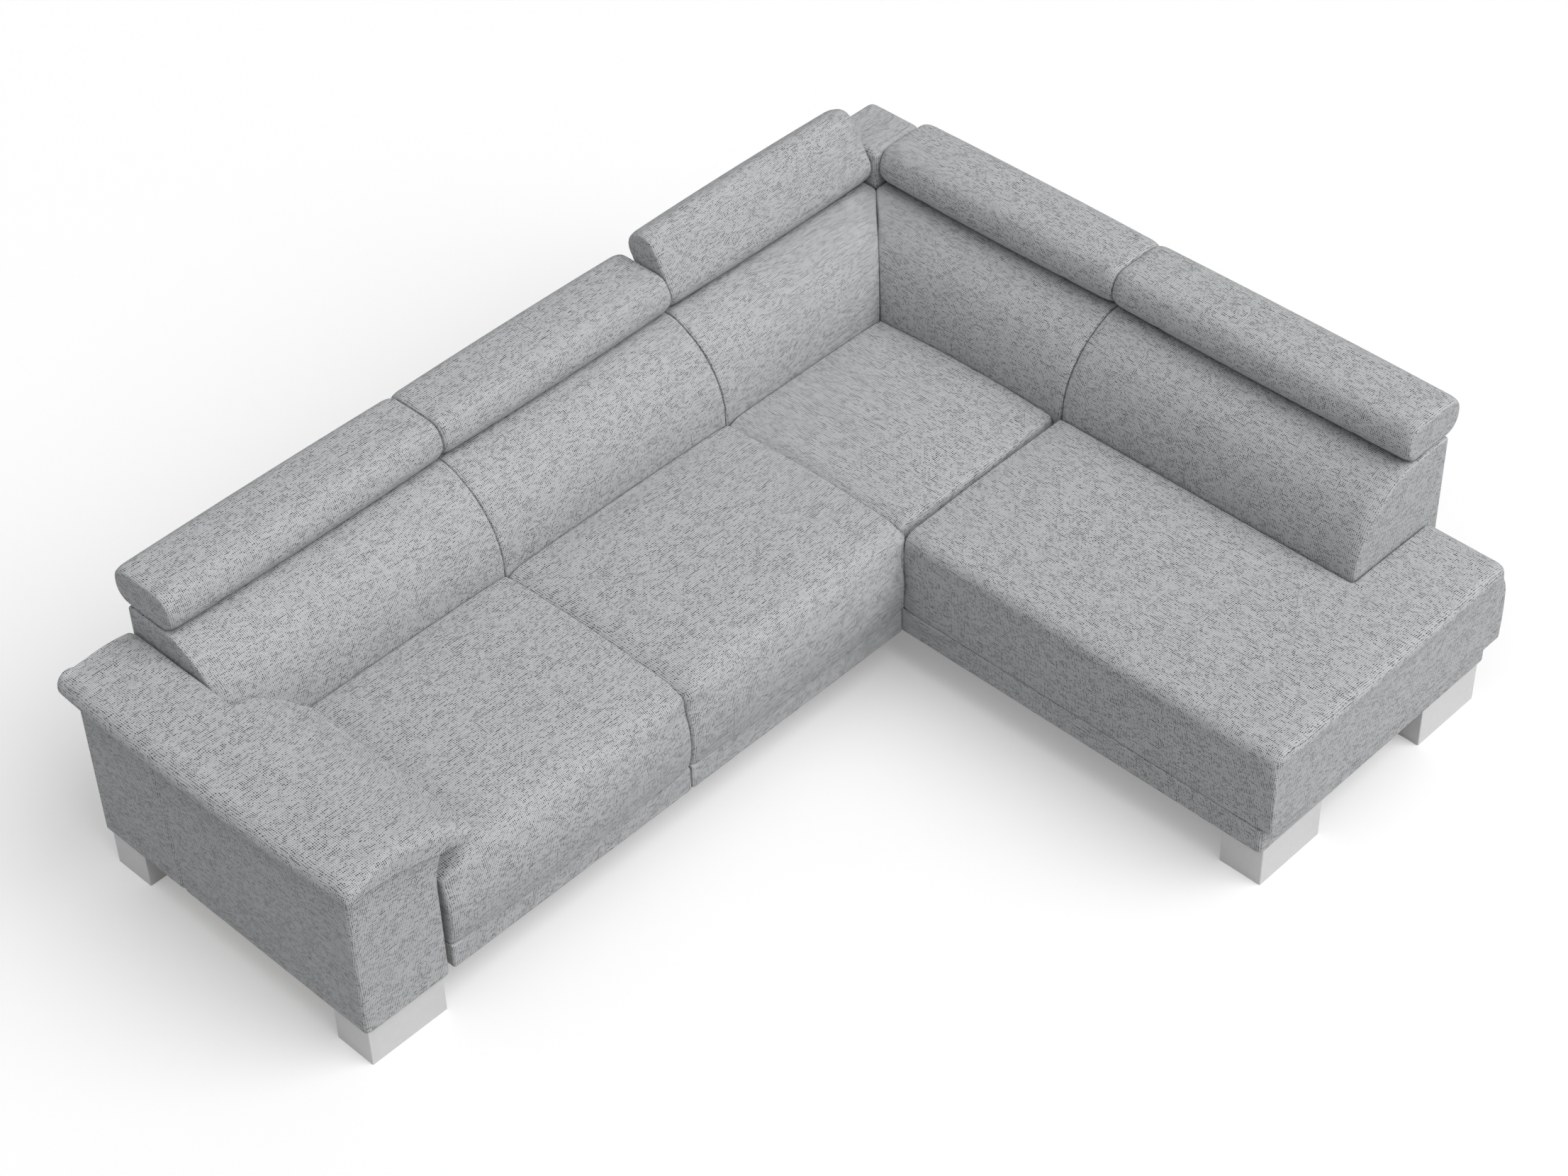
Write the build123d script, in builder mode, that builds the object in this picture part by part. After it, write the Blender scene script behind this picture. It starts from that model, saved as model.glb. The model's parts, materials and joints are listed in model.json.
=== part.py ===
from build123d import *
from dataclasses import dataclass
from math import cos, radians, sin
import os

# Corner sofa with one armrest, an open-ended wing and five tilting headrests.
# +X runs along the long side from the armrest to the corner, +Y to the rear of the long side.
# The origin is on the floor under the middle of the sofa's box. All sizes are in millimetres.

os.makedirs("parts", exist_ok=True)

# Armrest
arm_width = 252
arm_length = 945
arm_gap = 12
arm_wall = 14
arm_outer_height = 566
arm_inner_height = 509
arm_flare = 28
arm_flare_drop = 105
pad_bulge = 30
pad_thickness = 68
pad_inner_overhang = 110
pad_front_overhang = 18
pad_rear_overhang = 20
pad_drop = 24
pad_sweep = 125
pad_nose = 34
pad_rim_radius = 14

# Seats
seat_width = 764
corner_seat_width = 564
seat_depth = 618
seat_height = 440
seat_edge_radius = 60
seat_front_swell = 12
seam_gap = 3

# Wing
wing_length = 1118
wing_step = 22
wing_overhang = 22
wing_back_width = 910
wing_end_radius = 52

# Base
foot_height = 118
base_height = 74.5
panel_step = 2
panel_thickness = 26
panel_edge_radius = 7
plinth_thickness = 18

# Backs
back_thickness = 352
back_height = 681
back_overlap = 68
back_toe = 6
crease_depth = 186
back_wall = 16
back_top_wall = 20
corner_inset = 176
block_height = 772
block_radius = 18

# Headrests
headrest_overhang = 40
pivot_depth = 239
pivot_height = 740
pad_half_height = 54.5
pad_front_reach = 54.5
pad_front_radius = 44
pad_under_radius = 53
pad_rear_radius = 46
pad_gap = 3
raised_angle = 60
travel_angle = 72
hinge_inset = 150

# Headrest hinges
plate_thickness = 4
bracket_width = 26
bracket_head_radius = 20
bracket_elbow_depth = 68
bracket_elbow_drop = 50
bracket_leg = 140
notch_angle = 12
notch_radius = 1.8
arm_head_radius = 26
arm_reach = 100
flange_width = 24
pawl_width = 7
pin_radius = 4
pin_play = 0.05
pin_head_radius = 7
pin_head_thickness = 2.5
board_thickness = 12
board_start = 40
board_depth = 90
board_margin = 30
board_edge_radius = 2
slot_play = 6
slot_lead = 4
slot_sweep = 62

# Timber frames and what hangs on them
rail_thickness = 30
back_rail_thickness = 23
back_rail_height = 60
lower_rail_bottom = 300
post_depth = 285
post_thickness = 45
post_width = 40
board_height = 18
sheet_thickness = 1.5
strap_width = 60
strap_thickness = 2.5
straps_per_seat = 5
wing_straps = 7

# Feet and fasteners
foot_length = 225
foot_width = 121
foot_inset = 10
arm_foot_spacing = 800
foot_wall = 5
foot_floor = 8
foot_tube_radius = 14
bolt_radius = 5
bolt_play = 0.3
bolt_head_radius = 9
bolt_head_height = 8
bolt_sink = 30
bolt_bite = 32
arm_bolt_length = 50
leg_radius = 22
leg_flange_radius = 34
leg_flange = 12
leg_setback = 170
link_length = 120
link_width = 60
link_thickness = 4

# Softness
fit = 0.3
soft_edge = 44
seat_drawn = 22
back_drawn = 5
end_drawn = 14
pad_drawn = 6
pad_edge = 26
swell = 7
pad_swell = 3

# Heights that follow
frame_bottom = foot_height + sheet_thickness
strap_top = foot_height + base_height
frame_top = strap_top - strap_thickness
seat_bottom = strap_top + fit

# Places along X, from the armrest to the far side
pad_reach = back_thickness + headrest_overhang - pivot_depth - pad_swell
total_width = (pad_bulge + arm_width + arm_gap + 2 * seat_width + corner_seat_width
               + back_thickness + headrest_overhang)
arm_outer_x = pad_bulge - total_width / 2
arm_inner_x = arm_outer_x + arm_width
seat_1_x = arm_inner_x + arm_gap
seat_2_x = seat_1_x + seat_width
corner_x = seat_2_x + seat_width
back_x = corner_x + corner_seat_width
back_left_x = seat_1_x - back_overlap
wing_face_x = corner_x - wing_step
frame_left_x = wing_face_x + plinth_thickness
frame_right_x = back_x + post_depth
plinth_right_x = frame_right_x + plinth_thickness
wing_right_x = plinth_right_x + plinth_thickness

# Places along Y, from the wing's end to the rear
total_depth = wing_overhang + wing_length + seat_depth + back_thickness + headrest_overhang
wing_tip_y = -total_depth / 2
wing_end_y = wing_tip_y + wing_overhang
long_front_y = wing_end_y + wing_length
panel_y = long_front_y + panel_step
frame_front_y = panel_y + panel_thickness
wing_seam_y = long_front_y + 2 * seam_gap
back_y = long_front_y + seat_depth
frame_rear_y = back_y + post_depth
wing_back_end_y = wing_seam_y - wing_back_width
arm_rear_y = long_front_y + arm_length
corner_block_x = back_x + corner_inset
corner_block_y = back_y + corner_inset

# Sections of the long back are cut across X, those of the wing's back across Y.
# In both, the first coordinate is the depth behind the back's front and the second the height.
long_run = Plane(origin=(0, back_y, 0), x_dir=(0, 1, 0), z_dir=(1, 0, 0))
wing_run = Plane(origin=(back_x, 0, 0), x_dir=(1, 0, 0), z_dir=(0, -1, 0))


@dataclass
class Unit:
    """One back section with its headrest: its run, its stretch of back and pad, and its rest angle."""
    name: str
    run: Plane
    back: tuple
    pad: tuple
    drawn: tuple
    angle: float

    def hinges(self):
        """The two hinges as a place along the run and the side on which the moving arm lies."""
        return [(self.pad[0] + hinge_inset, 1), (self.pad[1] - hinge_inset, -1)]


half_pad_gap = pad_gap / 2
half_seam = seam_gap / 2
back_units = [
    Unit("1", long_run, (back_left_x, seat_2_x - half_seam),
         (back_left_x, seat_2_x - half_pad_gap), (end_drawn, back_drawn), 0),
    Unit("2", long_run, (seat_2_x + half_seam, corner_x - half_seam),
         (seat_2_x + half_pad_gap, corner_x - half_pad_gap), (back_drawn, back_drawn), 0),
    Unit("3", long_run, (corner_x + half_seam, corner_block_x - seam_gap),
         (corner_x + half_pad_gap, corner_block_x - pad_gap), (back_drawn, 0), raised_angle),
    Unit("4", wing_run, (seam_gap - corner_block_y, -wing_seam_y - half_seam),
         (pad_gap - corner_block_y, -wing_seam_y - half_pad_gap), (0, back_drawn), 0),
    Unit("5", wing_run, (half_seam - wing_seam_y, -wing_back_end_y),
         (half_pad_gap - wing_seam_y, -wing_back_end_y), (back_drawn, end_drawn), 0),
]


def save(builder, name):
    builder.part.label = name
    export_step(builder.part, f"parts/{name}.step")


def middle(pair):
    return (pair[0] + pair[1]) / 2


def span(pair):
    return pair[1] - pair[0]


def block(x, y, z, mode=Mode.ADD):
    """A straight block between two places on each axis."""
    with Locations((middle(x), middle(y), middle(z))):
        Box(span(x), span(y), span(z), mode=mode)


def run_block(run, along, depth, height, mode=Mode.ADD):
    """A straight block in a back's own directions: along its run, by depth and by height."""
    with BuildSketch(run.offset(along[0])) as outline:
        with Locations((middle(depth), middle(height))):
            Rectangle(span(depth), span(height))
    extrude(outline.sketch, amount=span(along), mode=mode)


def soft_loft(section, start, end, near, far, bulge, edge=soft_edge):
    """A cushion in three stretches: a drawn-in end, a gently swollen middle and the other end."""
    first, last = start + edge, end - edge
    half_edge = edge / 2
    stretches = [
        [(start, near), (start + half_edge, near / 4), (first, 0)],
        [(first, 0), ((first + last) / 2, -bulge), (last, 0)],
        [(last, 0), (end - half_edge, far / 4), (end, far)],
    ]
    for stretch in stretches:
        loft([section(place, drawn) for place, drawn in stretch])


# Seats

def seat_section(x, drawn, front, back, radius):
    """Side view of a seat cushion: full front, rounded front edge, crowned top."""
    face = front + drawn
    top = seat_height - 0.6 * drawn
    corner = radius * (1 - cos(radians(45)))
    with BuildSketch(Plane(origin=(x, 0, 0), x_dir=(0, 1, 0), z_dir=(1, 0, 0))) as section:
        with BuildLine():
            ThreePointArc((face, seat_bottom), (face - seat_front_swell, (seat_bottom + top) / 2),
                          (face, top - radius))
            ThreePointArc((face, top - radius), (face + corner, top - corner), (face + radius, top))
            ThreePointArc((face + radius, top), ((face + back) / 2, top + swell), (back, top - swell))
            Polyline((back, top - swell), (back, seat_bottom), (face, seat_bottom))
        make_face()
    return section.sketch


def seat_cushion(x, front, back, radius, drawn):
    def section(place, inset):
        return seat_section(place, inset, front, back, radius)

    soft_loft(section, x[0] + half_seam, x[1] - half_seam, drawn, drawn, swell)


seat_rear_y = back_y + back_toe - seam_gap
with BuildPart() as seat_1_cushion:
    seat_cushion((seat_1_x, seat_2_x), long_front_y, seat_rear_y, seat_edge_radius, seat_drawn)
save(seat_1_cushion, "seat_1_cushion")

# Seat 2 gives way where the wing's cushion pushes into its front corner.
with BuildPart() as seat_2_cushion:
    seat_cushion((seat_2_x, corner_x), long_front_y, seat_rear_y, seat_edge_radius, seat_drawn)
    block((wing_face_x - 3 * seam_gap, corner_x), (wing_tip_y, wing_seam_y),
          (foot_height, seat_height + seat_height), Mode.SUBTRACT)
save(seat_2_cushion, "seat_2_cushion")

with BuildPart() as corner_seat_cushion:
    seat_cushion((corner_x, back_x + back_toe), wing_seam_y + half_seam + seat_front_swell + swell,
                 seat_rear_y, seat_edge_radius / 4, back_drawn)
save(corner_seat_cushion, "corner_seat_cushion")


def wing_section(y, drawn, drop):
    """End view of the wing's cushion, with both long edges rounded."""
    left, right = wing_face_x + drawn, wing_right_x - drawn
    top = seat_height - drop
    radius = seat_edge_radius
    corner = radius * (1 - cos(radians(45)))
    waist = (seat_bottom + top) / 2
    with BuildSketch(Plane(origin=(0, y, 0), x_dir=(1, 0, 0), z_dir=(0, -1, 0))) as section:
        with BuildLine():
            ThreePointArc((left, seat_bottom), (left - seam_gap, waist), (left, top - radius))
            ThreePointArc((left, top - radius), (left + corner, top - corner), (left + radius, top))
            ThreePointArc((left + radius, top), ((left + right) / 2, top + swell), (right - radius, top))
            ThreePointArc((right - radius, top), (right - corner, top - corner), (right, top - radius))
            ThreePointArc((right, top - radius), (right + seam_gap, waist), (right, seat_bottom))
            Line((right, seat_bottom), (left, seat_bottom))
        make_face()
    return section.sketch


# The wing's cushion is L-shaped: it goes round the end of its back.
with BuildPart() as wing_seat_cushion:
    inner_end = wing_seam_y - half_seam
    straight_start = inner_end - soft_edge
    straight_end = wing_tip_y + wing_end_radius
    end_steps = [(1, 0, 0), (0.45, 0.03, 0.14), (0.12, 0.09, 0.46), (0, 0.24, 0.85)]
    extrude(wing_section(straight_start, 0, 0), amount=straight_start - straight_end)
    loft([wing_section(inner_end, back_drawn / 2, back_drawn), wing_section(straight_start, 0, 0)],
         ruled=True)
    loft([wing_section(wing_tip_y + share * wing_end_radius, side * wing_end_radius, drop * wing_end_radius)
          for share, side, drop in end_steps])
    block((back_x + back_toe - seam_gap, wing_right_x + wing_overhang),
          (wing_back_end_y - seam_gap, back_y), (foot_height, back_height), Mode.SUBTRACT)
save(wing_seat_cushion, "wing_seat_cushion")


# Base panels and plinth

def base_panel(x):
    block((x[0] + half_seam, x[1] - half_seam), (panel_y, frame_front_y), (foot_height, strap_top))
    fillet(faces().sort_by(Axis.Y)[0].edges(), panel_edge_radius)


with BuildPart() as base_panel_1:
    base_panel((seat_1_x, seat_2_x))
save(base_panel_1, "base_panel_1")

with BuildPart() as base_panel_2:
    base_panel((seat_2_x, wing_face_x))
save(base_panel_2, "base_panel_2")

# The plinth is one band round three sides of the wing.
with BuildPart() as wing_plinth:
    plinth_height = (foot_height, strap_top)
    plinth_rear_y = frame_front_y - fit
    block((wing_face_x, plinth_right_x), (wing_end_y, plinth_rear_y), plinth_height)
    block((frame_left_x, plinth_right_x + fit), (wing_end_y + plinth_thickness, plinth_rear_y + fit), plinth_height,
          Mode.SUBTRACT)
    block((frame_right_x, plinth_right_x), (wing_end_y, wing_back_end_y - seam_gap), plinth_height)
    fillet(edges().filter_by(Axis.Z).filter_by_position(
        Axis.Y, wing_end_y - fit, wing_end_y + fit), panel_edge_radius * 2)
save(wing_plinth, "wing_plinth")


# Backs

def back_section(run, along, drawn):
    """Side view of a back: upright toe behind the seat, then arcs that lean back to the crease, flat top."""
    face = back_height - seat_height
    toe = back_toe + 0.6 * max(drawn, 0)
    lap = seat_height + 2 * back_toe
    shoulder = (0.19 * crease_depth + drawn, seat_height + 0.53 * face)
    crest = (0.81 * crease_depth + 0.6 * drawn, seat_height + 0.967 * face)
    with BuildSketch(run.offset(along)) as section:
        with BuildLine():
            upright = Line((toe, seat_bottom), (toe, lap))
            belly = TangentArc((toe, lap), shoulder, tangent=upright % 1)
            slope = TangentArc(shoulder, crest, tangent=belly % 1)
            TangentArc(crest, (crease_depth, back_height), tangent=slope % 1)
            Polyline((crease_depth, back_height), (back_thickness, back_height),
                     (back_thickness, seat_bottom), (toe, seat_bottom))
        make_face()
    return section.sketch


def mitre_cut(unit):
    """Cuts the backs that meet in the corner along the corner's diagonal."""
    reach = 2 * back_thickness
    gap = seam_gap / 4
    low_x, low_y = back_x - reach, back_y - reach
    high_x, high_y = back_x + reach, back_y + reach
    with BuildSketch(Plane.XY) as half:
        with BuildLine():
            if unit.run is long_run:
                Polyline((low_x - gap, low_y), (high_x - gap, high_y), (high_x, low_y), close=True)
            else:
                Polyline((low_x, low_y - gap), (high_x, high_y - gap), (low_x, high_y), close=True)
        make_face()
    extrude(half.sketch, amount=2 * back_height, mode=Mode.SUBTRACT)


def back_cushion(unit):
    """An upholstered shell that slips over the back's frame and ends in a skirt at the rear."""
    start, end = unit.back
    run = unit.run
    inner_wall = back_thickness - back_wall
    cavity_start, cavity_end = start - back_wall, end + back_wall

    def section(place, drawn):
        return back_section(run, place, drawn)

    with BuildPart() as cushion:
        soft_loft(section, start, end, unit.drawn[0], unit.drawn[1], swell)
        run_block(run, unit.back, (inner_wall, back_thickness), (foot_height, seat_bottom + fit))
        if unit.name == "1":
            cavity_start = back_1_side_x + back_wall
            run_block(run, (start - fit, back_1_side_x), (-back_thickness, 2 * back_thickness),
                      (0, arm_shelf + seam_gap), Mode.SUBTRACT)
        if unit.name == "5":
            cavity_end = end - back_wall
        if unit.name in ("3", "4"):
            mitre_cut(unit)
        cavity_depth = (post_depth - back_rail_thickness - fit, inner_wall)
        run_block(run, (cavity_start, cavity_end), cavity_depth,
                  (foot_height - fit, back_height - back_top_wall), Mode.SUBTRACT)
        for place, side in unit.hinges():
            run_block(run, lane(place, side, -slot_play, slot_play),
                      (pivot_depth + bracket_elbow_depth - bracket_width, inner_wall),
                      (back_height - 2 * back_top_wall, back_height + fit), Mode.SUBTRACT)
    save(cushion, f"back_{unit.name}_cushion")


def lane(place, side, near, far):
    """A stretch along the run beside a hinge, counted towards the moving arm."""
    return tuple(sorted((place + side * near, place + side * far)))


# The arm's top slopes down to the seat; its height where the back hangs over it.
def arm_top(x_share):
    return arm_outer_height - (arm_outer_height - arm_inner_height) * x_share ** 2


flare_x = arm_inner_x + arm_flare
arm_shelf = arm_top((back_left_x - arm_outer_x) / (flare_x - arm_outer_x))
back_1_side_x = flare_x + seam_gap

for unit in back_units:
    back_cushion(unit)

# The corner block closes the square behind the two backs; below their tops it is open to their frames.
with BuildPart() as corner_block:
    block_right, block_rear = back_x + back_thickness, back_y + back_thickness
    block((corner_block_x, block_right), (corner_block_y, block_rear), (foot_height, block_height))
    fillet(edges().filter_by(Axis.Z), block_radius)
    fillet(faces().sort_by(Axis.Z)[-1].edges(), block_radius)
    block((corner_block_x - fit, block_right - back_wall), (corner_block_y - fit, block_rear - back_wall),
          (foot_height - fit, back_height - back_top_wall), Mode.SUBTRACT)
save(corner_block, "corner_block")


# Headrests

def hinge_frame(unit, along, angle):
    """Plane at the hinge: first axis along the pad, second through its thickness."""
    section = unit.run.offset(along)
    origin = section.from_local_coords(Vector(pivot_depth, pivot_height, 0))
    along_pad = section.x_dir * cos(radians(angle)) + section.y_dir * sin(radians(angle))
    return Plane(origin=origin, x_dir=along_pad, z_dir=section.z_dir)


def hinge_block(unit, along, length, thickness, mode=Mode.ADD):
    """A straight block in a headrest's own directions."""
    with BuildSketch(hinge_frame(unit, along[0], unit.angle)) as outline:
        with Locations((middle(length), middle(thickness))):
            Rectangle(span(length), span(thickness))
    extrude(outline.sketch, amount=span(along), mode=mode)


def pad_section(unit, along, drawn):
    """Side view of a headrest pad, with a round underside at the hinge so that it turns in place."""
    length = pad_front_reach + pad_reach - 2 * drawn
    height = 2 * (pad_half_height - drawn)
    shrink = height / (2 * pad_half_height)
    with BuildSketch(hinge_frame(unit, along, unit.angle)) as section:
        with Locations(((pad_reach - pad_front_reach) / 2, 0)):
            Rectangle(length, height)
        fillet(section.vertices().group_by(Axis.X)[-1], pad_rear_radius * shrink)
        fillet(section.vertices().group_by(Axis.X)[0].sort_by(Axis.Y)[0], pad_under_radius * shrink)
        fillet(section.vertices().group_by(Axis.X)[0].sort_by(Axis.Y)[-1], pad_front_radius * shrink)
    return section.sketch


def slot_outline(unit, along):
    """Room that a fixed bracket needs inside the pad while the pad turns about it."""
    first = -slot_lead
    last = -slot_lead - slot_sweep - travel_angle
    reach = 2 * pad_half_height
    corners = [(0, 0)]
    for angle, radius in ((first, 1.3 * reach), ((first + last) / 2, 1.5 * reach), (last, reach)):
        corners.append((radius * cos(radians(angle)), radius * sin(radians(angle))))
    with BuildSketch(hinge_frame(unit, along, unit.angle)) as outline:
        Circle(arm_head_radius + 2)
        with BuildLine():
            Polyline(*corners, close=True)
        make_face()
    return outline.sketch


board_bottom = -2 * board_thickness / 3
flange_bottom = board_bottom - plate_thickness
web_bottom = flange_bottom - 4 * plate_thickness


def headrest_pad(unit):
    start, end = unit.pad
    board_end = board_start + board_depth

    def section(place, drawn):
        return pad_section(unit, place, drawn)

    with BuildPart() as pad:
        soft_loft(section, start, end, pad_drawn, pad_drawn, pad_swell, pad_edge)
        hinge_block(unit, (start + board_margin - fit, end - board_margin + fit),
                    (board_start - fit, board_end + fit),
                    (board_bottom - fit, board_bottom + board_thickness + fit), Mode.SUBTRACT)
        for place, side in unit.hinges():
            slot = lane(place, side, -2 * plate_thickness, 3 * plate_thickness)
            extrude(slot_outline(unit, slot[0]), amount=span(slot), mode=Mode.SUBTRACT)
            pocket = lane(place, side, -2 * plate_thickness, flange_width + 2 * plate_thickness)
            hinge_block(unit, pocket, (0, arm_reach + plate_thickness),
                        (web_bottom - plate_thickness, board_bottom), Mode.SUBTRACT)
    save(pad, f"headrest_{unit.name}_pad")


def headrest_board(unit):
    start, end = unit.pad
    with BuildPart() as board:
        hinge_block(unit, (start + board_margin, end - board_margin),
                    (board_start, board_start + board_depth),
                    (board_bottom, board_bottom + board_thickness))
        fillet(board.edges().group_by(SortBy.LENGTH)[-1], board_edge_radius)
    save(board, f"headrest_{unit.name}_board")


def headrest_arms(unit):
    """Moving hinge arms: a round head at the pin, a web under the board, a flange and a pawl."""
    near = plate_thickness / 2 + fit
    far = near + plate_thickness
    pawl_radius = bracket_head_radius + 2 * fit
    with BuildPart() as arms:
        for place, side in unit.hinges():
            plate = lane(place, side, near, far)
            with BuildSketch(hinge_frame(unit, plate[0], unit.angle)) as outline:
                Circle(arm_head_radius)
                with Locations((arm_reach / 2, (web_bottom + board_bottom) / 2)):
                    Rectangle(arm_reach, board_bottom - web_bottom)
                Circle(pin_radius + pin_play, mode=Mode.SUBTRACT)
            extrude(outline.sketch, amount=span(plate))
            hinge_block(unit, lane(place, side, near, near + flange_width),
                        (board_start, arm_reach), (flange_bottom, board_bottom))
            pawl = lane(place, side, -plate_thickness / 2, near)
            with BuildSketch(hinge_frame(unit, pawl[0], unit.angle + 150)) as tooth:
                Circle(arm_head_radius)
                Circle(pawl_radius, mode=Mode.SUBTRACT)
                with Locations((arm_head_radius, 0)):
                    Rectangle(arm_head_radius, pawl_width, mode=Mode.INTERSECT)
            extrude(tooth.sketch, amount=span(pawl))
    save(arms, f"headrest_{unit.name}_arms")


def headrest_brackets(unit):
    """Fixed hinge brackets: a notched head at the pin, an elbow, and a leg on the frame's post."""
    elbow = (bracket_elbow_depth, -bracket_elbow_drop)
    notches = 1 + int((travel_angle + 2 * notch_angle) / notch_angle)
    with BuildPart() as brackets:
        for place, side in unit.hinges():
            plate = lane(place, side, -plate_thickness / 2, plate_thickness / 2)
            with BuildSketch(hinge_frame(unit, plate[0], 0)) as outline:
                with BuildLine():
                    Polyline((0, 0), elbow, (elbow[0], elbow[1] - bracket_leg))
                trace(line_width=bracket_width)
                Circle(bracket_head_radius)
                with PolarLocations(bracket_head_radius, notches, start_angle=150 - notch_angle,
                                    angular_range=notches * notch_angle):
                    Circle(notch_radius, mode=Mode.SUBTRACT)
                Circle(pin_radius + pin_play, mode=Mode.SUBTRACT)
            extrude(outline.sketch, amount=span(plate))
    save(brackets, f"headrest_{unit.name}_brackets")


for unit in back_units:
    headrest_pad(unit)
    headrest_board(unit)
    headrest_arms(unit)
    headrest_brackets(unit)

# One rivet through each bracket and arm.
with BuildPart() as hinge_pins:
    for unit in back_units:
        for place, side in unit.hinges():
            low = -plate_thickness / 2 - pin_play
            high = plate_thickness * 1.5 + fit + pin_play
            for radius, stretch in ((pin_radius, (low, high)),
                                    (pin_head_radius, (low - pin_head_thickness, low)),
                                    (pin_head_radius, (high, high + pin_head_thickness))):
                along = lane(place, side, *stretch)
                with BuildSketch(hinge_frame(unit, along[0], 0)) as disc:
                    Circle(radius)
                extrude(disc.sketch, amount=span(along))
save(hinge_pins, "hinge_pins")


# Timber back frames: posts at the hinges, a rail in front of them near the top and one lower down

def back_frame(units, along, corner_post):
    top = back_height - back_top_wall - fit
    run = units[0].run
    with BuildPart() as frame:
        rail_depth = (post_depth - back_rail_thickness, post_depth)
        for bottom in (lower_rail_bottom, top - back_rail_height):
            run_block(run, along, rail_depth, (bottom, bottom + back_rail_height))
        for unit in units:
            for place, side in unit.hinges():
                post = lane(place, side, -plate_thickness / 2 - post_width, -plate_thickness / 2)
                run_block(run, post, (post_depth, post_depth + post_thickness), (frame_bottom, top))
        if corner_post:
            run_block(run, (along[1] - post_width, along[1]), (post_depth, post_depth + post_thickness),
                      (frame_bottom, top))
    return frame


long_stretch = (back_1_side_x + back_wall + fit, corner_x - seam_gap)
corner_stretch = (corner_x + seam_gap, frame_right_x)
wing_stretch = (fit - frame_rear_y + back_rail_thickness, -wing_back_end_y - 2 * back_wall)
save(back_frame(back_units[:2], long_stretch, False), "long_back_frame")
save(back_frame(back_units[2:3], corner_stretch, True), "corner_back_frame")
save(back_frame(back_units[3:], wing_stretch, False), "wing_back_frame")

# Armrest

# Cross-section of the arm's body: level outside, sloping top, flare towards the seat.
flare_bottom = arm_inner_height - arm_flare_drop
pad_clearance = 2.5 * fit


def arm_top_points(count, lift, end_x):
    """Points along the arm's sloping top, from the outer side to a place nearer the seat."""
    points = []
    for step in range(count + 1):
        x = arm_outer_x + step / count * (end_x - arm_outer_x)
        points.append((x, arm_top((x - arm_outer_x) / (flare_x - arm_outer_x)) + lift))
    return points


def arm_plane(y):
    return Plane(origin=(0, y, 0), x_dir=(1, 0, 0), z_dir=(0, -1, 0))


def arm_body_section(y):
    top_points = arm_top_points(2, 0, flare_x)
    flare_middle = (arm_inner_x + arm_flare / 4, (flare_bottom + arm_inner_height) / 2)
    with BuildSketch(arm_plane(y)) as section:
        with BuildLine():
            ThreePointArc(*top_points)
            ThreePointArc(top_points[-1], flare_middle, (arm_inner_x, flare_bottom))
            Polyline((arm_inner_x, flare_bottom), (arm_inner_x, foot_height), (arm_outer_x, foot_height),
                     top_points[0])
        make_face()
    return section.sketch


arm_bolt_places = [(long_front_y + share * arm_length, frame_bottom + rail_thickness)
                   for share in (0.16, 0.42, 0.84)]


def arm_bolt_holes():
    """Bores across the arm's inner side for the bolts into the seat's frame."""
    with BuildSketch(Plane(origin=(arm_inner_x - 2 * arm_bolt_length, 0, 0), x_dir=(0, 1, 0),
                           z_dir=(1, 0, 0))) as bores:
        with Locations(*arm_bolt_places):
            Circle(bolt_radius + bolt_play)
    extrude(bores.sketch, amount=4 * arm_bolt_length, mode=Mode.SUBTRACT)


arm_cavity_x = (arm_outer_x + arm_wall, arm_inner_x - arm_wall)
arm_cavity_y = (long_front_y + arm_wall, arm_rear_y - arm_wall)
arm_cavity_z = (foot_height, flare_bottom)

with BuildPart() as arm_body:
    extrude(arm_body_section(long_front_y), amount=-arm_length)
    fillet(edges().filter_by(Axis.Z), arm_wall)
    block(arm_cavity_x, arm_cavity_y, (foot_height - fit, flare_bottom), Mode.SUBTRACT)
    arm_bolt_holes()
save(arm_body, "arm_body")

foot_places = [
    (arm_outer_x + foot_inset, long_front_y + foot_inset),
    (arm_outer_x + foot_inset, long_front_y + foot_inset + arm_foot_spacing),
    (wing_face_x + 1.5 * foot_inset, wing_end_y + panel_step),
    (plinth_right_x - 2.5 * foot_inset - foot_length, wing_end_y + panel_step),
    (plinth_right_x - 2.5 * foot_inset - foot_length, long_front_y + foot_inset + arm_foot_spacing),
]
foot_names = ["foot_arm_front", "foot_arm_rear", "foot_wing_inner", "foot_wing_outer", "foot_corner_rear"]


def foot_centre(place):
    return (place[0] + foot_length / 2, place[1] + foot_width / 2)


def bolt_bores(places):
    """Upright bores for the foot bolts."""
    with BuildSketch(Plane.XY) as bores:
        with Locations(*[foot_centre(place) for place in places]):
            Circle(bolt_radius + bolt_play)
    extrude(bores.sketch, amount=2 * foot_height, mode=Mode.SUBTRACT)


# The arm's frame is a box of boards: floor, three uprights, a rail each side and a top board.
with BuildPart() as arm_frame:
    inner_x = (arm_cavity_x[0] + fit, arm_cavity_x[1] - fit)
    inner_y = (arm_cavity_y[0] + fit, arm_cavity_y[1] - fit)
    inner_z = (foot_height + fit, flare_bottom - fit)
    block(inner_x, inner_y, (inner_z[0], inner_z[0] + board_height))
    block(inner_x, inner_y, (inner_z[1] - board_height, inner_z[1]))
    for share in (0, 0.5, 1):
        upright = inner_y[0] + share * (span(inner_y) - board_height)
        block(inner_x, (upright, upright + board_height), inner_z)
    for edge in (inner_x[0], inner_x[1] - board_height):
        block((edge, edge + board_height), inner_y, (inner_z[0], inner_z[0] + back_rail_height))
    bolt_bores(foot_places[:2])
    arm_bolt_holes()
save(arm_frame, "arm_frame")


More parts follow.
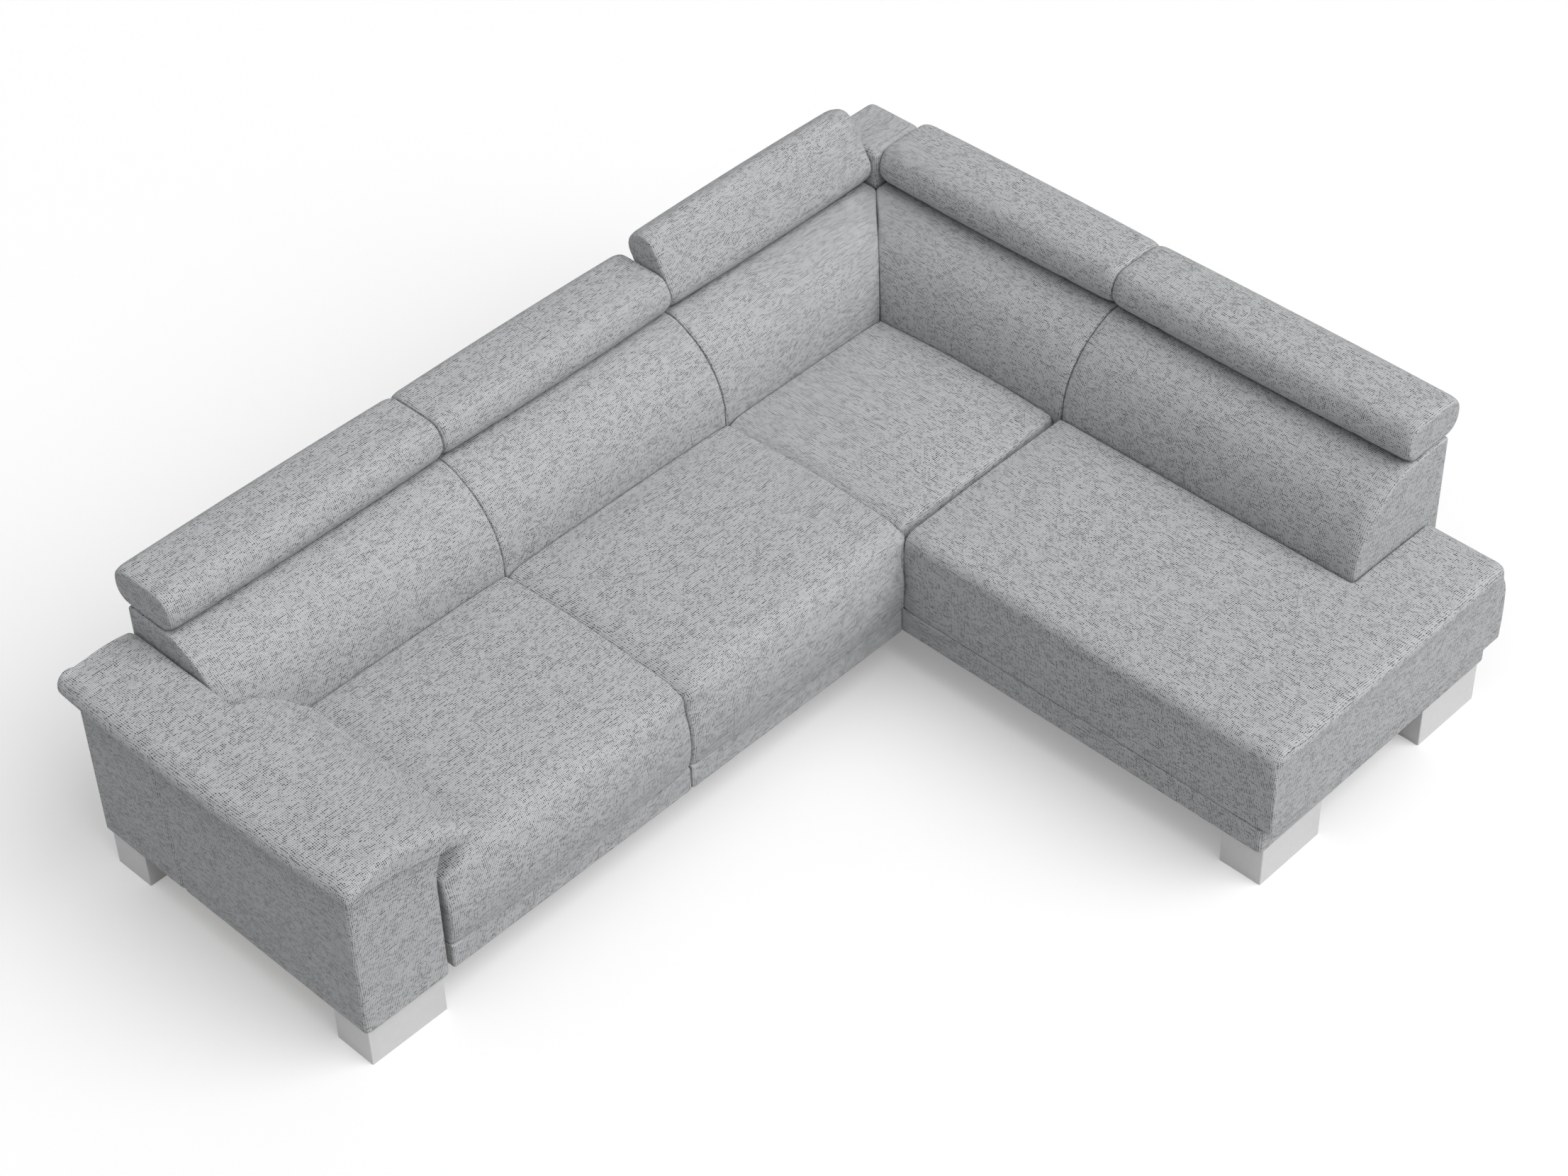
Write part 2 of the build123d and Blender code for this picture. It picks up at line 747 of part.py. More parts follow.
pad_front_y = long_front_y - pad_front_overhang
pad_rear_y = arm_rear_y + pad_rear_overhang
pad_wide_x = arm_inner_x + pad_inner_overhang
pad_narrow_x = back_left_x - seam_gap


def pad_profile(y, drawn):
    """End view of the armrest's pad: crowned top, swollen outer side, inner edge curled over the seat."""
    share = (y - pad_front_y) / (pad_rear_y - pad_front_y)
    outer = arm_outer_x - pad_bulge * (1 - 2.2 * (share - 0.62) ** 2)
    under = arm_top_points(2, pad_clearance, flare_x)
    lip_x, lip_z = under[-1]
    tip_x = pad_wide_x - drawn
    curl = ((lip_x + tip_x) / 2, lip_z - 0.7 * pad_drop)
    tip = (tip_x, lip_z - 0.1 * pad_drop)
    brim = (tip_x - pad_drop, lip_z + 1.2 * pad_drop - 0.5 * drawn)
    crown = (under[1][0], under[1][1] + pad_thickness - drawn)
    shoulder = (arm_outer_x + pad_drop, arm_outer_height + 0.56 * pad_thickness - 0.6 * drawn)
    side = (outer, arm_outer_height + 0.2 * pad_thickness - 0.25 * drawn)
    edge = (outer + 0.15 * (shoulder[0] - outer), (side[1] + shoulder[1]) / 2 + 0.1 * pad_drop)
    tuck = (outer + 0.2 * (under[0][0] - outer), arm_outer_height + 0.05 * pad_thickness)
    with BuildSketch(arm_plane(y)) as section:
        with BuildLine():
            ThreePointArc(*under)
            Line(under[-1], curl)
            ThreePointArc(curl, tip, brim)
            ThreePointArc(brim, crown, shoulder)
            ThreePointArc(shoulder, edge, side)
            ThreePointArc(side, tuck, under[0])
        make_face()
    return section.sketch


def pad_recess():
    """Plan of the room left for the back: the pad's inner edge sweeps round to a strip beside it."""
    sweep_end = back_y - 4 * seam_gap
    sweep_start = sweep_end - pad_sweep
    start = (pad_wide_x + seam_gap, sweep_start)
    bend = (pad_narrow_x + 0.76 * (pad_wide_x - pad_narrow_x), sweep_start + 0.72 * pad_sweep)
    far_x, far_y = pad_wide_x + soft_edge, pad_rear_y + soft_edge
    with BuildSketch(Plane.XY) as recess:
        with BuildLine():
            ThreePointArc(start, bend, (pad_narrow_x, sweep_end))
            Polyline((pad_narrow_x, sweep_end), (pad_narrow_x, far_y), (far_x, far_y), (far_x, sweep_start),
                     start)
        make_face()
    return recess.sketch


with BuildPart() as arm_pad:
    nose_steps = [(0, 0.8), (0.08, 0.45), (0.4, 0.14), (1, 0)]
    front_end = pad_front_y + pad_nose
    rear_end = pad_rear_y - pad_nose
    loft([pad_profile(pad_front_y + step * pad_nose, drop * pad_nose) for step, drop in nose_steps])
    loft([pad_profile(y, 0) for y in (front_end, (front_end + rear_end) / 2, rear_end)])
    loft([pad_profile(pad_rear_y - step * pad_nose, drop * pad_nose) for step, drop in reversed(nose_steps)])
    extrude(pad_recess(), amount=2 * arm_outer_height, mode=Mode.SUBTRACT)
    rim = [edge for edge in edges(Select.LAST).filter_by(Axis.Z, reverse=True)
           if edge.center().Z > arm_outer_height]
    fillet(rim, pad_rim_radius)
save(arm_pad, "arm_pad")

# Timber base frames

seat_rail_y = back_y - rail_thickness / 2
rail_z = (frame_bottom, frame_top)


def foot_boards(places, x, y):
    """Boards across the frame's corners, kept inside the frame's outline, for the feet to bolt to."""
    for place in places:
        block((max(place[0], x[0]), min(place[0] + foot_length, x[1])),
              (max(place[1], y[0]), min(place[1] + foot_width, y[1])),
              (frame_bottom, frame_bottom + board_height))


long_frame_x = (arm_inner_x + fit, frame_left_x - fit)
long_frame_y = (frame_front_y, frame_rear_y)
with BuildPart() as long_base_frame:
    for y in (frame_front_y, seat_rail_y, frame_rear_y - rail_thickness):
        block(long_frame_x, (y, y + rail_thickness), rail_z)
    for x in (long_frame_x[0], seat_2_x - rail_thickness / 2, long_frame_x[1] - rail_thickness):
        block((x, x + rail_thickness), long_frame_y, rail_z)
    arm_bolt_holes()
save(long_base_frame, "long_base_frame")

corner_frame_x = (frame_left_x, frame_right_x)
corner_frame_y = (wing_end_y + plinth_thickness, frame_rear_y)
with BuildPart() as corner_base_frame:
    wing_rail_y = wing_seam_y - rail_thickness / 2
    for y in (corner_frame_y[0], wing_rail_y, seat_rail_y, frame_rear_y - rail_thickness):
        block(corner_frame_x, (y, y + rail_thickness), rail_z)
    for x in (frame_left_x, frame_right_x - rail_thickness):
        block((x, x + rail_thickness), corner_frame_y, rail_z)
    block((back_x, back_x + rail_thickness), (corner_frame_y[0], wing_seam_y), rail_z)
    foot_boards(foot_places[2:], corner_frame_x, corner_frame_y)
    bolt_bores(foot_places[2:])
save(corner_base_frame, "corner_base_frame")

# Elastic webbing

strap_z = (frame_top, strap_top)


def seat_straps(x, y):
    """Straps from the front rail to the rear rail of a seat, evenly spaced."""
    pitch = span(x) / straps_per_seat
    for step in range(straps_per_seat):
        centre = x[0] + (step + 0.5) * pitch
        block((centre - strap_width / 2, centre + strap_width / 2), y, strap_z)


strap_end_y = seat_rail_y + rail_thickness
for name, stretch, start_y in (
        ("seat_1_webbing", (seat_1_x, seat_2_x), frame_front_y),
        ("seat_2_webbing", (seat_2_x, wing_face_x), frame_front_y),
        ("corner_seat_webbing", (frame_left_x + rail_thickness, back_x), wing_seam_y)):
    with BuildPart() as webbing:
        seat_straps(stretch, (start_y, strap_end_y))
    save(webbing, name)

with BuildPart() as wing_seat_webbing:
    strap_run = (corner_frame_y[0] + rail_thickness, wing_seam_y - rail_thickness)
    strap_pitch = span(strap_run) / wing_straps
    for step in range(wing_straps):
        strap_y = strap_run[0] + (step + 0.5) * strap_pitch
        beyond_back = strap_y + strap_width < wing_back_end_y
        strap_end_x = frame_right_x if beyond_back else back_x + rail_thickness
        block((frame_left_x, strap_end_x), (strap_y - strap_width / 2, strap_y + strap_width / 2), strap_z)
save(wing_seat_webbing, "wing_seat_webbing")

# Dust covers under the frames

# They reach past the frames to the backs' skirts, so that the posts don't show from below.
sheet_z = (foot_height, frame_bottom)
skirt_depth = back_thickness - back_wall - fit
with BuildPart() as long_dust_cover:
    block(long_frame_x, (frame_front_y, back_y + skirt_depth), sheet_z)
save(long_dust_cover, "long_dust_cover")

with BuildPart() as corner_dust_cover:
    block(corner_frame_x, (corner_frame_y[0], back_y + skirt_depth), sheet_z)
    block((frame_left_x, back_x + skirt_depth), (wing_back_end_y, back_y + skirt_depth), sheet_z)
    bolt_bores(foot_places[2:])
save(corner_dust_cover, "corner_dust_cover")


# Block feet: hollow mouldings, open at the top, with ribs round the bolt's tube

def foot(place):
    x = (place[0], place[0] + foot_length)
    y = (place[1], place[1] + foot_width)
    centre = foot_centre(place)
    rib = foot_wall / 2
    block(x, y, (0, foot_height))
    fillet(edges().filter_by(Axis.Z), foot_wall / 2)
    block((x[0] + foot_wall, x[1] - foot_wall), (y[0] + foot_wall, y[1] - foot_wall),
          (foot_floor, foot_height + fit), Mode.SUBTRACT)
    block((centre[0] - rib, centre[0] + rib), (y[0] + rib, y[1] - rib), (foot_floor / 2, foot_height))
    block((x[0] + rib, x[1] - rib), (centre[1] - rib, centre[1] + rib), (foot_floor / 2, foot_height))
    with BuildSketch(Plane.XY) as tube:
        with Locations(centre):
            Circle(foot_tube_radius)
    extrude(tube.sketch, amount=foot_height)
    with BuildSketch(Plane.XY) as sink:
        with Locations(centre):
            Circle(bolt_head_radius + bolt_play)
    extrude(sink.sketch, amount=bolt_sink, mode=Mode.SUBTRACT)
    bolt_bores([place])


for name, place in zip(foot_names, foot_places):
    with BuildPart() as block_foot:
        foot(place)
    save(block_foot, name)

with BuildPart() as foot_bolts:
    for place in foot_places:
        with BuildSketch(Plane.XY.offset(bolt_sink - bolt_head_height)) as head:
            with Locations(foot_centre(place)):
                RegularPolygon(bolt_head_radius, 6)
        extrude(head.sketch, amount=bolt_head_height)
        with BuildSketch(Plane.XY.offset(bolt_sink)) as shank:
            with Locations(foot_centre(place)):
                Circle(bolt_radius)
        extrude(shank.sketch, amount=foot_height + board_height - bolt_sink)
save(foot_bolts, "foot_bolts")

# Bolts that hold the armrest to the seat's frame, with their heads inside the arm.
with BuildPart() as arm_bolts:
    head_x = arm_cavity_x[1] - fit - board_height
    for start, radius, length in ((head_x - bolt_head_height, bolt_head_radius, bolt_head_height),
                                  (head_x, bolt_radius, board_height + arm_wall + rail_thickness)):
        with BuildSketch(Plane(origin=(start, 0, 0), x_dir=(0, 1, 0), z_dir=(1, 0, 0))) as round_bar:
            with Locations(*arm_bolt_places):
                Circle(radius)
        extrude(round_bar.sketch, amount=length)
save(arm_bolts, "arm_bolts")

# Turned plastic legs out of sight under the frames.
leg_places = [
    (frame_left_x - leg_setback, frame_front_y + leg_setback),
    (frame_left_x - leg_setback, frame_rear_y - leg_setback),
    (back_x - leg_setback, wing_seam_y),
]
with BuildPart() as support_legs:
    with BuildSketch(Plane.XZ) as leg_profile:
        with BuildLine():
            Polyline((0, 0), (leg_radius + leg_flange / 2, 0), (leg_radius + leg_flange / 2, leg_flange / 2),
                     (leg_radius, leg_flange), (leg_radius, foot_height - 2 * leg_flange),
                     (leg_flange_radius, foot_height - leg_flange), (leg_flange_radius, foot_height),
                     (0, foot_height), close=True)
        make_face()
    turned_leg = revolve(leg_profile.sketch, Axis.Z, mode=Mode.PRIVATE)
    with Locations(*leg_places):
        add(turned_leg)
save(support_legs, "support_legs")

# Steel plates that tie the two frames together from below.
with BuildPart() as link_plates:
    for y in (frame_front_y + leg_setback, seat_rail_y):
        block((frame_left_x - link_length / 2, frame_left_x + link_length / 2), (y, y + link_width),
              (foot_height - link_thickness, foot_height))
save(link_plates, "link_plates")
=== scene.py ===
import json
import math

import bpy
import numpy as np
from mathutils import Matrix, Vector


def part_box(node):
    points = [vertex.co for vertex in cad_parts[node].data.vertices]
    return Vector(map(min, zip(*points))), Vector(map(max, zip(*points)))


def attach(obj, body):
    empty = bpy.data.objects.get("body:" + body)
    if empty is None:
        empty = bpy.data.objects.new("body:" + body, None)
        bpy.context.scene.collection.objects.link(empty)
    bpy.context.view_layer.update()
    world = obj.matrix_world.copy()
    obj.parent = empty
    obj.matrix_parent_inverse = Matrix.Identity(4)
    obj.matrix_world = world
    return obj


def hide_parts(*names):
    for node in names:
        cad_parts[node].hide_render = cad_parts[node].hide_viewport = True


# Corner sofa in a chunky grey weave, in metres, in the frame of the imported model.

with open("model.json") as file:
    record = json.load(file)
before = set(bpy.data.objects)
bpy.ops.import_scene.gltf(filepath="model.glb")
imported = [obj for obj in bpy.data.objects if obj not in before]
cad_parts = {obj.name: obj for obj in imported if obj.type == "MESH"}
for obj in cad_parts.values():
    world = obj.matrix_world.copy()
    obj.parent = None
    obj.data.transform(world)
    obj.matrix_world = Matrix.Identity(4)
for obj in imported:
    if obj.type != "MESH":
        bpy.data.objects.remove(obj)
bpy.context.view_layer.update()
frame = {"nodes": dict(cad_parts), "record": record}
nodes = frame["nodes"]
scene = bpy.context.scene

# Materials

class Tree:
    """Shorthand for the nodes of one material."""

    def __init__(self, name):
        self.material = bpy.data.materials.new(name)
        self.material.use_nodes = True
        self.nodes = self.material.node_tree.nodes
        self.links = self.material.node_tree.links
        self.shader = self.nodes["Principled BSDF"]

    def add(self, kind, inputs=(), **settings):
        node = self.nodes.new(kind)
        for key, value in settings.items():
            setattr(node, key, value)
        for socket, value in dict(inputs).items():
            self.put(node.inputs[socket], value)
        return node

    def put(self, socket, value):
        if isinstance(value, bpy.types.NodeSocket):
            self.links.new(value, socket)
        else:
            socket.default_value = value

    def math(self, operation, first, second=0.0, third=0.0):
        return self.add("ShaderNodeMath", {0: first, 1: second, 2: third}, operation=operation).outputs[0]

    def mix(self, factor, first, second):
        node = self.add("ShaderNodeMix", data_type="RGBA", blend_type="MIX")
        self.put(node.inputs["Factor"], factor)
        self.put(node.inputs["A"], first)
        self.put(node.inputs["B"], second)
        return node.outputs["Result"]

    def choose(self, switch, first, second):
        return self.add("ShaderNodeMix", {"Factor": switch, "A": first, "B": second}).outputs[0]

    def point(self, x, y, z):
        return self.add("ShaderNodeCombineXYZ", {0: x, 1: y, 2: z}).outputs[0]

    def noise(self, place, scale, detail):
        inputs = {"Vector": place, "Scale": scale, "Detail": detail}
        return self.add("ShaderNodeTexNoise", inputs).outputs["Fac"]

    def chance(self, x, y, z):
        """A random value for each whole-numbered place."""
        inputs = {"Vector": self.point(x, y, z)}
        return self.add("ShaderNodeTexWhiteNoise", inputs, noise_dimensions="3D").outputs["Value"]

    def set(self, **values):
        for name, value in values.items():
            self.put(self.shader.inputs[name.replace("_", " ")], value)


def grey(value, warmth=0.0):
    return (value * (1 + warmth), value, value * (1 - warmth), 1)


# The weave: the distance between yarns, how far they wander, their relief, and the colours of yarn and gap.
YARN_PITCH = 0.0046
YARN_DRIFT = 0.012
YARN_RELIEF = 0.0012
PALE_YARN = grey(0.542, -0.02)
DARK_YARN = grey(0.04, -0.02)

# A face is woven the other way where it looks along the rows by this much, and counts its picks down where
# it falls away to the rear by this much.
TURNED_WEAVE = 0.72
FALLING_WEAVE = 0.15

# Across a slope a row takes this share of the way over and up together.
SLOPE_SHARE = 0.85

# Runs of thinner yarn: how many begin per row, the shift from pick to pick that keeps them from lining up,
# and the layer that their chances are drawn from.
SLUB_RATE = 0.36
SLUB_SHIFT = 0.618
SLUB_LAYER = 7.0

# How dark a gap is: by chance and at least, then for stretches that are more open, and how small it is.
DEPTH_BY_CHANCE, LEAST_DEPTH = 1.25, 0.33
MORE_OPEN, LEAST_OPEN = 1.3, 0.72
GAP_POWER = 1.5

# Dark dashes: how fast their noise changes along a row, where in it they begin and are full, and how dark.
DASH_RATE = 0.22
DASH_BEGINS, DASH_FULL = 0.63, 0.73
DASH_DARKNESS = 0.8


def weave_material(name, along_y):
    """Fine flat weave: pale yarn, a dark gap at each crossing, and dark dashes along the rows."""
    tree = Tree(name)
    place = tree.add("ShaderNodeTexCoord")
    point = tree.add("ShaderNodeSeparateXYZ", {0: place.outputs["Object"]}).outputs
    normal = tree.add("ShaderNodeSeparateXYZ", {0: place.outputs["Normal"]}).outputs
    long_axis, cross_axis = (point[1], point[0]) if along_y else (point[0], point[1])
    end_normal, cross_normal = (normal[1], normal[0]) if along_y else (normal[0], normal[1])

    # Rows run along the long axis, and picks are counted across it, over the top and down the front.
    facing_end = tree.math("GREATER_THAN", tree.math("ABSOLUTE", end_normal), TURNED_WEAVE)
    falling = tree.math("GREATER_THAN", tree.math("MULTIPLY", cross_normal, normal[2]), FALLING_WEAVE)
    rise = tree.math("MULTIPLY", point[2], tree.math("MULTIPLY_ADD", falling, -2.0, 1.0))
    over_top = tree.math("MULTIPLY", tree.math("ADD", cross_axis, rise), SLOPE_SHARE)
    row_place = tree.choose(facing_end, long_axis, cross_axis)
    pick_place = tree.choose(facing_end, over_top, point[2])

    # The yarns wander a little, so that rows don't look printed.
    wander = tree.noise(place.outputs["Object"], 14.0, 2.0)
    drift = tree.math("MULTIPLY", tree.math("SUBTRACT", wander, 0.5), YARN_DRIFT)
    row = tree.math("DIVIDE", tree.math("ADD", row_place, drift), YARN_PITCH)
    pick = tree.math("DIVIDE", tree.math("ADD", pick_place, drift), YARN_PITCH)
    pick_number = tree.math("FLOOR", pick)
    across_row = tree.math("ABSOLUTE", tree.math("SINE", tree.math("MULTIPLY", row, math.pi)))
    across_pick = tree.math("ABSOLUTE", tree.math("SINE", tree.math("MULTIPLY", pick, math.pi)))

    # Each crossing and each short run of yarn has its own darkness, and some stretches are more open.
    chance = tree.chance(tree.math("FLOOR", row), pick_number, 0.0)
    slub_place = tree.math("MULTIPLY_ADD", pick_number, SLUB_SHIFT, tree.math("MULTIPLY", row, SLUB_RATE))
    slub = tree.chance(tree.math("FLOOR", slub_place), pick_number, SLUB_LAYER)
    depth = tree.math("MULTIPLY_ADD", tree.math("MULTIPLY", slub, chance), DEPTH_BY_CHANCE, LEAST_DEPTH)
    stretches = tree.noise(place.outputs["Object"], 30.0, 3.0)
    openness = tree.math("MULTIPLY_ADD", stretches, MORE_OPEN, LEAST_OPEN)
    gap = tree.math("POWER", tree.math("MULTIPLY", across_row, across_pick), GAP_POWER)
    dot = tree.math("MINIMUM", tree.math("MULTIPLY", gap, tree.math("MULTIPLY", depth, openness)), 1.0)

    # A dash is a stretch of one dark yarn.
    dash_place = tree.point(tree.math("MULTIPLY", row, DASH_RATE), pick_number, 0.0)
    dash_noise = tree.noise(dash_place, 0.93, 1.0)
    dash_range = {"Value": dash_noise, "From Min": DASH_BEGINS, "From Max": DASH_FULL}
    dash_chance = tree.add("ShaderNodeMapRange", dash_range).outputs[0]
    dash = tree.math("MULTIPLY", dash_chance, tree.math("POWER", across_pick, 2.0))

    dotted = tree.mix(dot, PALE_YARN, DARK_YARN)
    dashed = tree.mix(tree.math("MULTIPLY", dash, DASH_DARKNESS), dotted, DARK_YARN)
    relief = tree.math("SUBTRACT", 1.0, tree.math("MAXIMUM", dot, dash))
    bump = tree.add("ShaderNodeBump", {"Strength": 0.35, "Distance": YARN_RELIEF, "Height": relief})
    tree.set(Base_Color=dashed, Roughness=0.92, Normal=bump.outputs[0], Specular_IOR_Level=0.2,
             Sheen_Weight=0.08, Sheen_Roughness=0.5)
    return tree.material


def noisy_material(name, dark, light, scale, roughness, metallic=0.0, bump=0.0, stretch=(1, 1, 1)):
    """A plain finish with fine variation of colour and relief."""
    tree = Tree(name)
    place = tree.add("ShaderNodeTexCoord")
    stretched = tree.add("ShaderNodeMapping", {"Vector": place.outputs["Object"], "Scale": stretch})
    noise = tree.noise(stretched.outputs[0], scale, 4.0)
    tree.set(Base_Color=tree.mix(noise, dark, light), Roughness=roughness, Metallic=metallic)
    if bump:
        relief = tree.add("ShaderNodeBump", {"Strength": bump, "Distance": 0.001, "Height": noise})
        tree.set(Normal=relief.outputs[0])
    return tree.material


FABRIC_X = weave_material("weave_along_x", along_y=False)
FABRIC_Y = weave_material("weave_along_y", along_y=True)
SILVER = noisy_material("silver_lacquer", grey(0.60), grey(0.66), 60, 0.38, 0.15, 0.03)
TIMBER = noisy_material("planed_timber", (0.34, 0.29, 0.22, 1), (0.46, 0.40, 0.32, 1), 9, 0.7, 0, 0.15,
                        stretch=(1, 9, 9))
STEEL = noisy_material("zinc_steel", grey(0.46), grey(0.62), 120, 0.35, 0.9, 0.04)
WEBBING = noisy_material("black_webbing", grey(0.02), grey(0.06), 300, 0.85, 0, 0.3)
DUST_CLOTH = noisy_material("black_dust_cloth", grey(0.012), grey(0.03), 250, 0.9, 0, 0.2)
BLACK = noisy_material("black_plastic", grey(0.02), grey(0.035), 90, 0.5, 0, 0.08)
SLOT_MATERIALS = {"timber": TIMBER, "steel": STEEL, "webbing": WEBBING, "silver": SILVER,
                  "dust_cloth": DUST_CLOTH, "black_plastic": BLACK}


def dress(obj, material):
    obj.data.materials.clear()
    obj.data.materials.append(material)


# Hard parts keep their CAD shape and get a finish.
fabric_nodes = []
for subpart in frame["record"]["subparts"]:
    if subpart["material_slot"] == "fabric":
        fabric_nodes.append(subpart["node"])
    else:
        dress(nodes[subpart["node"]], SLOT_MATERIALS[subpart["material_slot"]])


# Soft parts

UNITS = ("1", "2", "3", "4", "5")
HEADREST_NODES = {f"headrest_{unit}_pad": f"headrest_{unit}" for unit in UNITS}
WIDE_SEATS = ("seat_1_cushion", "seat_2_cushion")
BOXED = {"base_panel_1", "base_panel_2", "wing_plinth", "arm_body", "corner_block"}
FINE = BOXED | {"arm_pad"}

# The even mesh: its squares on large pieces and on tight edges, and the rounds that relax its steps.
VOXEL = 0.009
FINE_VOXEL = 0.0055
RELAX_ROUNDS = 2

# A length that is safe to divide by.
TINY = 1e-6


def active(obj):
    bpy.ops.object.select_all(action="DESELECT")
    obj.select_set(True)
    bpy.context.view_layer.objects.active = obj


def apply_modifier(piece, kind, **settings):
    modifier = piece.modifiers.new(kind.lower(), kind)
    for name, value in settings.items():
        setattr(modifier, name, value)
    active(piece)
    bpy.ops.object.modifier_apply(modifier=modifier.name)


def coordinates(mesh):
    flat = np.zeros(len(mesh.vertices) * 3)
    mesh.vertices.foreach_get("co", flat)
    return flat.reshape(-1, 3)


def vertex_normals(mesh):
    flat = np.zeros(len(mesh.vertices) * 3)
    mesh.vertices.foreach_get("normal", flat)
    return flat.reshape(-1, 3)


def place_vertices(mesh, points):
    mesh.vertices.foreach_set("co", points.ravel())
    mesh.update()


def fade(distance, stretch):
    """From one at no distance to none at the end of the stretch."""
    return np.clip(1 - distance / stretch, 0, 1)


def ramp(values, start, end):
    """Rises smoothly from none at the start to one at the end."""
    share = np.clip((values - start) / (end - start), 0, 1)
    return share * share * (3 - 2 * share)


def remeshed(node, voxel):
    """A copy of a CAD solid as an even mesh of small squares."""
    mesh = nodes[node].data.copy()
    piece = bpy.data.objects.new(node.replace("_cushion", "") + "_cover", mesh)
    scene.collection.objects.link(piece)
    active(piece)
    mesh.remesh_voxel_size = voxel
    mesh.use_remesh_fix_poles = False
    bpy.ops.object.voxel_remesh()
    return piece


def relax(piece, rounds):
    """Rounds off the steps that the remesh leaves."""
    apply_modifier(piece, "SMOOTH", factor=0.5, iterations=rounds)


def hug(piece, node):
    """Lays the even mesh back on its CAD surface, so that edges stay as crisp as they were drawn."""
    apply_modifier(piece, "SHRINKWRAP", target=nodes[node], wrap_method="NEAREST_SURFACEPOINT")


# Swelling by simulation

# Its length and air pressure, the rounds that even it out, the furthest move of a cushion and of a pad, and
# the percentage of points that the whole move is scaled by.
SIM_FRAMES = 12
SIM_PRESSURE = 2.0
EVEN_ROUNDS = 24
SEAT_CAP = 0.009
PAD_CAP = 0.005
MOST_POINTS = 98
CLOTH = {"quality": 3, "mass": 0.3, "tension_stiffness": 15, "compression_stiffness": 15,
         "bending_stiffness": 0.6, "use_pressure": True, "uniform_pressure_force": SIM_PRESSURE}

# A point is held where it faces a shown side by less than the first value, free where by the second more,
# and held near the foot of its piece.
HELD_FACING = 0.3
FREE_FACING = 0.4
HELD_HEIGHT = 0.04

UP, FRONT, LEFT = (0, 0, 1), (0, -1, 0), (-1, 0, 0)
RAISED = math.radians(60)
SEAT_LEVEL = 0.43
SHOWN_SIDES = {
    "seat_1_cushion": [UP, FRONT], "seat_2_cushion": [UP, FRONT], "corner_seat_cushion": [UP],
    "wing_seat_cushion": [UP], "arm_pad": [UP],
    "back_1_cushion": [FRONT], "back_2_cushion": [FRONT], "back_3_cushion": [FRONT],
    "back_4_cushion": [LEFT], "back_5_cushion": [LEFT],
    "headrest_1_pad": [UP], "headrest_2_pad": [UP], "headrest_4_pad": [UP], "headrest_5_pad": [UP],
    "headrest_3_pad": [(0, -math.sin(RAISED), math.cos(RAISED))],
}


def free_share(mesh, shown, floor):
    """How free each point of a cover is: all of it where it faces the room, none where it is held."""
    normals = vertex_normals(mesh)
    facing = np.max([normals @ np.array(direction) for direction in shown], axis=0)
    height = coordinates(mesh)[:, 2] - floor
    return np.clip((facing - HELD_FACING) / FREE_FACING, 0, 1) * np.clip(height / HELD_HEIGHT, 0, 1)


def evened(mesh, move, rounds):
    """Averages each point's move with its neighbours', so that the swelling has no lumps."""
    ends = np.zeros(len(mesh.edges) * 2, dtype=np.int32)
    mesh.edges.foreach_get("vertices", ends)
    first, second = ends[0::2], ends[1::2]
    size = len(mesh.vertices)
    neighbours = np.maximum(np.bincount(ends, minlength=size), 1)
    for _ in range(rounds):
        for axis in range(3):
            part = move[:, axis]
            total = np.bincount(first, part[second], size) + np.bincount(second, part[first], size)
            move[:, axis] = 0.5 * part + 0.5 * total / neighbours
    return move


def capped(move, cap):
    """Scales the whole move until most points stay within the cap, then cuts the rest to it."""
    length = np.linalg.norm(move, axis=1, keepdims=True)
    move = move * np.minimum(1, cap / max(np.percentile(length, MOST_POINTS), TINY))
    length = np.linalg.norm(move, axis=1, keepdims=True)
    return move * np.minimum(1, cap / np.maximum(length, TINY))


def inflate(piece, free, cap):
    """Lets the cover swell over its foam by simulation; points that aren't free stay put."""
    mesh = piece.data
    start = coordinates(mesh)
    pins = piece.vertex_groups.new(name="pins")
    for index, share in enumerate(free):
        pins.add([index], float(1 - share), "REPLACE")
    cloth = piece.modifiers.new("cloth", "CLOTH")
    for name, value in CLOTH.items():
        setattr(cloth.settings, name, value)
    cloth.settings.vertex_group_mass = pins.name
    cloth.settings.effector_weights.gravity = 0
    cloth.collision_settings.use_collision = False
    cloth.collision_settings.use_self_collision = False
    cloth.point_cache.frame_end = SIM_FRAMES + 1
    for step in range(1, SIM_FRAMES + 1):
        scene.frame_set(step)
    depsgraph = bpy.context.evaluated_depsgraph_get()
    end = coordinates(piece.evaluated_get(depsgraph).data)
    piece.modifiers.remove(cloth)
    piece.vertex_groups.clear()
    scene.frame_set(1)
    move = evened(mesh, capped(end - start, cap), EVEN_ROUNDS)
    place_vertices(mesh, start + move * free[:, None])


# Seats

SEAT_TOP = 0.440
SEAT_SWELL = 0.012
SEAT_RADIUS = 0.060

# The solids of seats and backs are drawn in towards their ends over this stretch.
SOFT_EDGE = 0.044

# A wide seat's ends: their fill, how far back and how high up it reaches, and the tighter front edge.
SEAT_FILL = 0.0154
FRONT_STRETCH = 0.15
TOP_SHARE = 0.6
TOP_START, TOP_RISE = 0.30, 0.14
NOSE_RADIUS = 0.020
NOSE_STRETCH = 0.120

# The left edge of a seat that dips under its neighbour: the slope's width and drop, and how deep it acts.
DIPPING = {"seat_1_cushion": (0.130, 0.040), "seat_2_cushion": (0.050, 0.020),
           "corner_seat_cushion": (0.040, 0.014)}
DIP_DEPTH = 0.06

# The wing's edges: the radius that they are drawn with, and the tighter one that the cover is pulled to.
WING_EDGES = {"long": (0.060, 0.035), "end": (0.052, 0.026), "upright": (0.016, 0.006)}
WING_WAIST = 0.003


